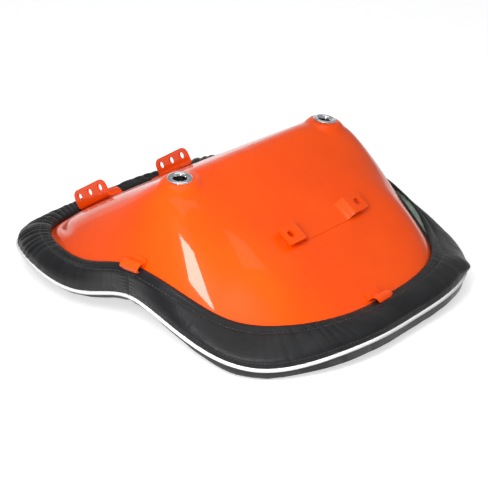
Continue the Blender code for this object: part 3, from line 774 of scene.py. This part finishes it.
def shape_roll(grid):
    """Wrinkles, seams and soft unevenness of the vinyl, moved along the roll's normal."""
    from_hem, from_piping = roll_lengths(grid)
    normal = grid_normals(grid)
    if (normal[ROLL_ROWS // 2] * UP).sum(axis=1).mean() < 0:
        normal = -normal
    flat = grid.reshape(-1, 3)
    soft = ripple(flat, 42 * MM, 3.0).reshape(from_hem.shape)
    small = ripple(flat, 13 * MM, 7.0).reshape(from_hem.shape)
    middle = smooth_step(from_hem / (16 * MM)) * smooth_step(from_piping / (14 * MM))
    move = middle * (1.1 * soft + 0.25 * small) * MM
    hem_x, hem_y = grid[0, :, 0], grid[0, :, 1]
    front = smooth_step((hem_y - FRONT_FROM) / (30 * MM))
    front = front * (0.15 + 0.85 * smooth_step((np.abs(hem_x) - CORNER_FROM) / (50 * MM)))
    left = smooth_step(-hem_x / (60 * MM))
    right = smooth_step(hem_x / (60 * MM))
    bent = smooth_step((bending_of(grid[0]) - BEND_FREE) / BEND_RISE)
    tight = bent * (0.02 + 0.13 * left * (1 - front) + 0.90 * front)
    move += GATHER_DEPTH * (0.014 + 0.97 * tight) * gathers(grid, from_hem, GATHER_PITCH, 1.0)
    pleats = gathers(grid, from_piping, PIPING_PITCH, 5.0) * smooth_step(from_piping / (3 * MM))
    move += PIPING_DEPTH * (0.12 + 0.85 * tight) * pleats
    seam = np.abs(grid[:, :, 1] - WAIST_Y)
    move -= WAIST_DIP * bump_at(seam, 0.0, 2.2 * MM) * middle
    move -= WAIST_HOLLOW * bump_at(seam, 0.0, 9 * MM) * middle
    pucker = np.sin(from_hem / (4.2 * MM) * 2 * math.pi) * bump_at(seam, 5 * MM, 4 * MM)
    move += 0.30 * MM * pucker * middle
    move -= (0.12 + 0.45 * right) * MM * bump_at(from_hem, CASING, 0.9 * MM)
    move -= 0.25 * MM * bump_at(from_piping, TOP_STITCH, 0.8 * MM)
    away = np.hypot(grid[:, :, 0] - TIP[0], grid[:, :, 1] - TIP[1])
    swell = TIP_SWELL * bump_at(away, 0.0, TIP_SPAN) * smooth_step(from_piping / (5 * MM))
    push = outward_of(grid[-1])[None, :, :] * swell[:, :, None]
    return grid + normal * move[:, :, None] + push, normal


def make_band(grid, normal, hem, half, sign):
    """One half of the side roll: vinyl of real thickness whose hem turns under."""
    edge, out, up = hem
    start = edge + out * LIP_START[0] + up * LIP_START[1]
    finish = grid[HEM_ROW]
    span = np.linalg.norm(finish - start, axis=1, keepdims=True)
    leave = (out * LIP_LEAVE[0] + up * LIP_LEAVE[1]) * span
    arrive = grid[HEM_ROW + 1] - grid[HEM_ROW - 1]
    arrive = unit(arrive) * span * 1.1
    shares = np.arange(LIP_ROWS) / LIP_ROWS
    lip = [hermite(start, finish, leave, arrive, share) for share in shares]
    outer = np.concatenate([np.array(lip), grid[HEM_ROW:]])
    picks = np.linspace(HEM_ROW + 2, ROLL_ROWS - 1, INNER_ROWS).astype(int)[::-1]
    inner = np.array([grid[row] - normal[row] * VINYL for row in picks])
    under = np.array([edge + out * away + up * height for away, height in LIP_UNDER])
    loop = np.concatenate([outer, inner, under])
    faces = grid_faces(len(loop), FINE, closed_rows=True)
    points, node = loop.reshape(-1, 3), half + "_side_band"
    piece = make_piece(half + "_cover_band", points, faces, BLACK, [node])
    cut_at_waist(piece, sign)


# ---------------- cover: the sitting face

FACE_COLUMNS = 256
FACE_SHARES = np.concatenate([np.linspace(0.03, 0.90, 34), np.linspace(0.915, 1.0, 10)])
FACE_TURN = 0.93  # share at which the face starts to turn up to the piping
SEAM_PINNED = 2.6 * MM  # half width of the strip held down at the waist
PUFF_CAP = 6.0 * MM  # farthest the cloth may move
CLOTH = {"quality": 6, "mass": 0.35, "tension_stiffness": 12, "compression_stiffness": 12,
         "bending_stiffness": 0.6, "use_pressure": True, "uniform_pressure_force": 4.0,
         "vertex_group_mass": "seams"}
LAST_FRAME = 20
CRINKLE = 0.8 * MM
FLOOR_GAP = 0.05 * MM


def inflate(points, faces, pins, cap):
    """Cloth under pressure, held at its seams; returns the points it settles at."""
    mesh = bpy.data.meshes.new("inflated")
    mesh.from_pydata([tuple(point) for point in points], [], faces)
    sheet = bpy.data.objects.new("inflated", mesh)
    bpy.context.scene.collection.objects.link(sheet)
    group = sheet.vertex_groups.new(name="seams")
    for index, weight in enumerate(pins):
        if weight > 0:
            group.add([index], float(weight), "REPLACE")
    cloth = sheet.modifiers.new("cloth", "CLOTH").settings
    for setting, value in CLOTH.items():
        setattr(cloth, setting, value)
    cloth.effector_weights.gravity = 0
    for number in range(1, LAST_FRAME + 1):
        bpy.context.scene.frame_set(number)
    shown = sheet.evaluated_get(bpy.context.evaluated_depsgraph_get())
    flat = np.empty(len(points) * 3)
    shown.data.vertices.foreach_get("co", flat)
    bpy.data.objects.remove(sheet, do_unlink=True)
    bpy.context.scene.frame_set(1)
    move = flat.reshape(-1, 3) - points
    length = np.linalg.norm(move, axis=1, keepdims=True)
    return points + move * np.minimum(1.0, cap / np.maximum(length, 1e-9))


def face_surface():
    """Outer surface of the sitting face: middle point and rings out to the piping."""
    places = np.arange(FACE_COLUMNS) * STATIONS / FACE_COLUMNS
    piping = closed_spline(PIPING_LINE, places)
    crown = RAW_FACE(piping[:, 0] * FACE_TURN, piping[:, 1] * FACE_TURN)
    rings = []
    for share in FACE_SHARES:
        ring = piping * share
        ring[:, 2] = np.maximum(RAW_FACE(ring[:, 0], ring[:, 1]), 0.0)
        if share > FACE_TURN:
            turn = (share - FACE_TURN) / (1 - FACE_TURN)
            drop = 1 - math.sqrt(max(0.0, 1 - turn * turn))
            ring[:, 2] = crown + (piping[:, 2] - PIPING_RADIUS - crown) * drop
            ring[:, :2] = piping[:, :2] * (share + 0.012 * math.sin(math.pi * turn))
        rings.append(ring)
    middle = np.array([[0.0, 0.0, float(RAW_FACE(np.zeros(1), np.zeros(1))[0])]])
    return np.concatenate([middle] + rings)


def make_faces():
    """Both cushion faces: one sheet inflated between its seams, then cut at the waist."""
    points = face_surface()
    rows = len(FACE_SHARES)
    faces = [face[::-1] for face in fan_faces(0, 1, FACE_COLUMNS)]
    faces += [face[::-1] for face in grid_faces(rows, FACE_COLUMNS, 1)]
    pins = np.zeros(len(points))
    pins[-2 * FACE_COLUMNS:] = 1.0
    pins[np.abs(points[:, 1] - WAIST_Y) < SEAM_PINNED] = 1.0
    settled = inflate(points, faces, pins, PUFF_CAP)
    settled[:, 2] += 2.0 * MM * bump_at(settled[:, 1], WAIST_Y, 4 * MM)
    crinkle = ripple(settled, 16 * MM, 11.0) * 0.5 + ripple(settled, 50 * MM, 12.0)
    settled[:-FACE_COLUMNS, 2] += (crinkle * CRINKLE)[:-FACE_COLUMNS]
    settled[:, 2] = np.maximum(settled[:, 2], FLOOR_GAP)
    grid = settled[1:].reshape(rows, FACE_COLUMNS, 3)
    normal = grid_normals(grid)
    if normal[rows // 2, :, 2].mean() < 0:
        normal = -normal
    inner = [grid[row] + normal[row] * VINYL for row in range(rows - 2, 0, -3)]
    closed, body = capped(settled[0], [*grid, *inner], settled[0] + UP * VINYL)
    for (half, sign), node in zip(HALVES, FACE_NODES):
        piece = make_piece(half + "_cushion_face", closed, body, BLACK, [node])
        cut_at_waist(piece, sign)


def cut_at_waist(piece, sign):
    """Keep a closed piece's seat side (1) or backrest side (-1) of the waist seam."""
    work = bmesh.new()
    work.from_mesh(piece.data)
    bmesh.ops.bisect_plane(work, geom=work.verts[:] + work.edges[:] + work.faces[:],
                           plane_co=(0, WAIST_Y + sign * 0.02 * MM, 0), plane_no=(0, -sign, 0),
                           clear_outer=True)
    bmesh.ops.holes_fill(work, edges=[edge for edge in work.edges if edge.is_boundary])
    bmesh.ops.triangulate(work, faces=[face for face in work.faces if len(face.verts) > 4])
    work.to_mesh(piece.data)
    work.free()
    piece.data.shade_smooth()
    piece.data.set_sharp_from_angle(angle=math.radians(60))


# ---------------- filling, piping and thread

VENT_WELL = 22 * MM  # hollow in the filling under each vent
FOAM_UNDER = 3.4 * MM  # foam's depth below the pan's skin
FOAM_DROP = 6.5 * MM  # further down under the rim's grooves
FOAM_SHARES = (0.2, 0.4, 0.52, 0.57, 0.61, 0.65, 0.69, 0.74, 0.80, 0.88, 0.96)
FOAM_OVER = 7.5 * MM  # foam's height above the sitting face's skin
FACE_FOAM_SHARES = (0.90, 0.80, 0.65, 0.5, 0.35, 0.2)
FOAM_ROWS = (10, 18, 26, 34, 42)  # rows of the roll that the foam follows inside
FOAM_RIM = 3.0 * MM  # foam's edge outside the draw cord's line, and its
FOAM_RIM_TUCK = 5.0 * MM  # further way in at the waist
FOAM_INSET = 3.0 * MM  # from the roll's surface, and more at the waist
FOAM_INSET_WAIST = 5.5 * MM


def make_foam(edge_data, roll, normal):
    """Rebonded foam filling, seen where the hem stands off the pan."""
    pick = np.arange(0, FINE, FINE // COARSE)
    edge, out, up = (part[pick] for part in edge_data)
    rings = []
    cord = closed_spline(HEM_CORD, COARSE_PLACES)
    for share in FOAM_SHARES:
        flat = cord * share
        height = pan_height(flat[:, 0], flat[:, 1]) - FOAM_UNDER
        if share > 0.7:
            height -= FOAM_DROP * smooth_step((flat[:, 1] - BEAD_FROM + 15 * MM) / BEAD_FADE)
        for seat, _ in VENT_SEATS:
            away = np.hypot(flat[:, 0] - seat[0], flat[:, 1] - seat[1])
            height -= VENT_WELL * bump_at(away, 0.0, VENT_FLAT)
        rings.append(lay(flat, height))
    side = outward_of(cord)
    reach = FOAM_RIM - FOAM_RIM_TUCK * bump_at(cord[:, 1:2], WAIST_Y, 30 * MM)
    rim = cord + side * reach
    base = pan_height(rim[:, 0], rim[:, 1])
    rings.append(lay(rim, base - 1.0 * MM))
    rings.append(lay(rim - side * 0.4 * MM, base + 3.0 * MM))
    rings.append(edge + out * 9.0 * MM + up * 2.6 * MM)
    for row in FOAM_ROWS:
        ring = roll[row][pick]
        inset = FOAM_INSET + FOAM_INSET_WAIST * bump_at(ring[:, 1:2], WAIST_Y, 12 * MM)
        rings.append(ring - normal[row][pick] * inset)
    piping = closed_spline(PIPING_LINE, COARSE_PLACES)
    rings.append(piping - outward_of(piping) * 6 * MM)
    for share in FACE_FOAM_SHARES:
        flat = piping * share
        rings.append(lay(flat, RAW_FACE(flat[:, 0], flat[:, 1]) + FOAM_OVER))
    points, faces = capped(rings[0][:, 2].mean() * UP, rings, rings[-1][:, 2].max() * UP)
    points[:, 2] += ripple(points, 3.2 * MM, 21.0) * 0.5 * MM
    for half, sign in HALVES:
        piece = make_piece(half + "_filling", points, faces, CRUMB, [half + "_foam"])
        cut_at_waist(piece, sign)


CORD_RADIUS = 1.4 * MM


def make_tubes():
    """Piping with the slight unevenness of a sewn-in core, and the draw cord in the hem."""
    piping = closed_spline(PIPING_LINE, FINE_PLACES)
    piping += outward_of(piping) * 0.5 * MM
    core = PIPING_RADIUS * (1 + 0.05 * ripple(piping, 9 * MM, 31.0))
    cord = closed_spline(HEM_CORD, FINE_PLACES)
    twist = CORD_RADIUS * (1 + 0.10 * np.sin(np.arange(FINE) * 2.1))
    for name, line, radius, sides, finish, slot, node in (
            ("cover_piping", piping, core, 14, WHITE, "white_vinyl", "piping"),
            ("draw_cord", cord, twist, 8, THREAD, "hem_cord", "hem_cord")):
        faces = grid_faces(FINE, sides, closed_rows=True)
        make_piece(name, tube_points(line, radius, sides), faces, finish, [node])


STITCH = 3.0 * MM
STITCH_PITCH = 4.1 * MM
STITCH_SHAPE = [(-0.5, -0.9), (-0.34, 0.75), (0.0, 1.0), (0.34, 0.75), (0.5, -0.9)]  # place, lift
STITCH_LIFT = 0.4 * MM
THREAD_RADIUS = 0.32 * MM
THREAD_SIDES = 6


def read_at(at, length, values):
    """Rows of values read at one length along a line."""
    return np.array([np.interp(at, length, values[:, axis]) for axis in range(3)])


def stitch_row(line, normal):
    """Points and faces of a row of thread stitches laid round a closed line on the vinyl."""
    line = np.concatenate([line, line[:1]])
    normal = np.concatenate([normal, normal[:1]])
    steps = np.linalg.norm(np.diff(line, axis=0), axis=1)
    length = np.concatenate([[0.0], np.cumsum(steps)])
    count = int(length[-1] / STITCH_PITCH)
    points = []
    faces = []
    for number in range(count):
        middle = (number + 0.5) * length[-1] / count
        base = len(points)
        for share, lift in STITCH_SHAPE:
            at = middle + share * STITCH
            spot = read_at(at, length, line)
            ahead = read_at(at + 0.4 * MM, length, line) - spot
            top = read_at(at, length, normal)
            side = np.cross(ahead / (np.linalg.norm(ahead) + 1e-12), top)
            for corner in range(THREAD_SIDES):
                angle = corner * 2 * math.pi / THREAD_SIDES
                offset = math.cos(angle) * side + math.sin(angle) * top
                points.append(spot + top * lift * STITCH_LIFT + offset * THREAD_RADIUS)
        faces += grid_faces(len(STITCH_SHAPE), THREAD_SIDES, base)
        end = len(points) - THREAD_SIDES
        faces.append([base + corner for corner in range(THREAD_SIDES)][::-1])
        faces.append([end + corner for corner in range(THREAD_SIDES)])
    return points, faces


WELT_RADIUS = 1.4 * MM
WELT_SINK = 0.8 * MM  # welt's centre below the vinyl
WELT_SIDES = 10


def make_welts(roll, normal):
    """Raised seam allowance that closes the waist seam on each side of the cover."""
    for label, sign in (("left", -1), ("right", 1)):
        line = []
        for row in range(HEM_ROW - 2, ROLL_ROWS):
            side = np.nonzero(roll[row, :, 0] * sign > 0)[0]
            at = side[np.argmin(np.abs(roll[row, side, 1] - WAIST_Y))]
            spot = roll[row, at] - normal[row, at] * WELT_SINK
            line.append([spot[0], WAIST_Y, spot[2]])
        points = tube_points(np.array(line), WELT_RADIUS, WELT_SIDES, closed=False)
        end = len(points) - WELT_SIDES
        faces = grid_faces(len(line), WELT_SIDES)
        faces.append(list(range(WELT_SIDES)))
        faces.append([end + i for i in range(WELT_SIDES)][::-1])
        make_piece("waist_welt_" + label, points, faces, BLACK)


def make_stitches(roll, normal):
    """Top-stitching of the hem casing and of the piping seam."""
    names = ("hem_stitching", "piping_stitching")
    for name, measure, distance in zip(names, roll_lengths(roll), (CASING, TOP_STITCH)):
        row = np.argmin(np.abs(measure - distance), axis=0)
        columns = np.arange(FINE)
        line = roll[row, columns]  # then smoothed over nine stations
        line = sum(np.roll(line, shift, axis=0) for shift in range(-4, 5)) / 9
        points, faces = stitch_row(line, normal[row, columns])
        make_piece(name, points, faces, THREAD)


# ---------------- hem clips

CLIP_SHEET = 2.0 * MM
CLIP_COLUMNS = 7
CLIP_HOOK = 3.0 * MM  # how far a tab hooks on past its solid
CLIP_LIFT = 0.8 * MM  # from the vinyl to the clip's underside
CLIP_EDGE = 0.35 * MM
CLIP_CURL = (  # out and up from the hem's inner edge, over the hem
    (-3.4 * MM, 3.2 * MM), (-1.2 * MM, HEM_LIFT + 2.0 * MM), (3.0 * MM, HEM_LIFT + 4.0 * MM))
TAB_ROUND = [0.72, 0.92, 1.0]  # share of the width at the last rows of a tab
TAB_TUCK = [0.0, 0.2, 0.5, 0.8]  # millimetres by which a tab's last rows bend in


def make_clip(node, name, roll, normal, hem):
    """Sheet tab that rises off the pan, curls over the hem and bears on the roll."""
    edge, out, up = hem
    points = points_of(node)
    middle = points.mean(axis=0)
    at = int(np.argmin(np.linalg.norm(edge[:, :2] - middle[:2], axis=1)))
    along = unit(edge[(at + 3) % FINE] - edge[at - 3])
    local = points - edge[at]
    half = np.ptp(local @ along) / 2
    foot = (local @ out[at]).min()
    reach = (local @ out[at]).max()
    path = [edge[at] + out[at] * foot * share for share in (1.0, 0.62, 0.30)]
    for spot in path:
        spot[2] = pan_height(np.array([spot[0]]), np.array([spot[1]]))[0] + 0.15 * MM
    for away, height in CLIP_CURL:
        path.append(edge[at] + out[at] * away + up[at] * height)
    for row in range(7, ROLL_ROWS, 3):
        spot = roll[row, at] + normal[row, at] * CLIP_LIFT
        if (spot - edge[at]) @ out[at] > reach + CLIP_HOOK:
            break
        path.append(spot)
    path = spline_rows(np.array(path)[:, None, :], 34)[:, 0]
    lift = np.cross(unit(np.gradient(path, axis=0)), along)
    lift *= np.sign(lift @ up[at]).reshape(-1, 1)
    widths = np.ones(len(path))
    widths[:3] = TAB_ROUND
    widths[-3:] = TAB_ROUND[::-1]
    path[-4:] -= np.outer(TAB_TUCK, lift[-1]) * MM
    across = np.linspace(-half, half, CLIP_COLUMNS)
    lower = path[:, None, :] + along * (across[None, :, None] * widths[:, None, None])
    upper = lower + lift[:, None, :] * CLIP_SHEET
    loop = np.concatenate([lower, upper[:, ::-1]], axis=1)
    rows, columns = loop.shape[:2]
    faces = grid_faces(rows, columns)
    for row in (0, rows - 1):
        for i in range(CLIP_COLUMNS - 1):
            a = row * columns + i
            b = row * columns + columns - 1 - i
            face = (a, a + 1, b - 1, b)
            faces.append(face if row else face[::-1])
    piece = make_piece(name, loop.reshape(-1, 3), faces, PAINT, [node])
    soften(piece, CLIP_EDGE, segments=2, harden=False)


# ---------------- making the object

make_pan()
for (seat, axis), label in zip(VENT_SEATS, ("left", "right")):
    make_eyelet(label, seat, axis)
    dress("eyelet_washer_" + label, ZINC)
for node in ("hinge_plate_left", "hinge_plate_right"):
    dress(node, PAINT, 0.4 * MM)

ROLL, ROLL_NORMAL = shape_roll(fine_roll())
HEM = hem_frame(FINE_PLACES)
for half, sign in HALVES:
    make_band(ROLL, ROLL_NORMAL, HEM, half, sign)
make_faces()
make_foam(HEM, ROLL, ROLL_NORMAL)
make_tubes()
make_stitches(ROLL, ROLL_NORMAL)
make_welts(ROLL, ROLL_NORMAL)
make_strap()
for label in ("front", "top", "left", "right"):
    make_clip("hem_clip_" + label, "hem_tab_" + label, ROLL, ROLL_NORMAL, HEM)


# ---------------- floor, light and camera

FLOOR_SIZE = 30.0
AZIMUTH = math.radians(48.7)
ELEVATION = math.radians(25.0)
DISTANCE = 1.426
LENS = 95.9
AIM_DROP = 43.7 * MM  # the camera looks this far below the box's middle
KEY = (-0.670, -0.371, 0.643)  # direction of the key light from the near front corner
AREA_LIGHTS = [  # name, aim from the middle, direction, distance, size, watts
    ("key_softbox", (-0.158, -0.075, 0.008), KEY, 0.75, (0.20, 0.19), 3.0),
    ("key_fill", (-0.158, -0.075, 0.008), KEY, 0.80, (0.6, 0.6), 2.8),
    ("near_fill", (-0.150, -0.110, -0.017), (-0.75, -0.45, 0.5), 0.34, (0.22, 0.22), 0.88),
    ("top_softbox", (0.0, 0.0, 0.0), (0.0, 0.0, 1.0), 1.6, (1.5, 1.5), 6.2),
    ("far_card", (0.0, 0.0, 0.0), (0.62, 0.77, 0.14), 2.6, (3.4, 1.9), 8.0),
]
SKY = (0.97, 0.98, 1.0, 1.0)
SKY_STRENGTH = 0.36


def make_floor():
    """Pale floor that stays white and leaves the object's own contact shadow."""
    mesh = bpy.data.meshes.new("floor")
    half = FLOOR_SIZE / 2
    low = CAD_BOX[0][2] - 0.2 * MM
    corners = [(-half, -half, low), (half, -half, low), (half, half, low), (-half, half, low)]
    mesh.from_pydata(corners, [], [(0, 1, 2, 3)])
    floor = bpy.data.objects.new("floor", mesh)
    white = Finish("pale_floor", (0.72, 0.72, 0.72), 0.9, Specular_IOR_Level=0.1,
                   Emission_Color=(1.0, 1.0, 1.0, 1.0), Emission_Strength=0.60)
    mesh.materials.append(white.made)
    bpy.context.scene.collection.objects.link(floor)
    floor.visible_diffuse = False


def make_softbox(name, aim, toward, distance, size, power):
    """Rectangular lamp in the given direction from a point, facing it; fills cast no reflection."""
    lamp = bpy.data.lights.new(name, "AREA")
    lamp.shape = "RECTANGLE"
    lamp.size, lamp.size_y = size
    lamp.energy = power
    holder = bpy.data.objects.new(name, lamp)
    toward = Vector(toward).normalized()
    holder.location = MIDDLE + Vector(aim) + toward * distance
    holder.rotation_euler = toward.to_track_quat("Z", "Y").to_euler()
    holder.visible_glossy = not name.endswith("fill")
    bpy.context.scene.collection.objects.link(holder)


MIDDLE = (Vector(CAD_BOX[0]) + Vector(CAD_BOX[1])) / 2
make_floor()
world = bpy.data.worlds.new("studio")
world.use_nodes = True
sky = world.node_tree.nodes["Background"]
sky.inputs["Color"].default_value = SKY
sky.inputs["Strength"].default_value = SKY_STRENGTH
bpy.context.scene.world = world
bpy.context.scene.view_settings.view_transform = "Standard"
for values in AREA_LIGHTS:
    make_softbox(*values)

level = math.cos(ELEVATION)
sight = Vector((math.sin(AZIMUTH) * level, math.cos(AZIMUTH) * level, -math.sin(ELEVATION)))
lens = bpy.data.cameras.new("camera")
lens.lens = LENS
lens.clip_end = 50
camera = bpy.data.objects.new("camera", lens)
camera.location = MIDDLE - Vector(UP) * AIM_DROP - sight * DISTANCE
camera.rotation_euler = (-sight).to_track_quat("Z", "Y").to_euler()
bpy.context.scene.collection.objects.link(camera)
bpy.context.scene.camera = camera
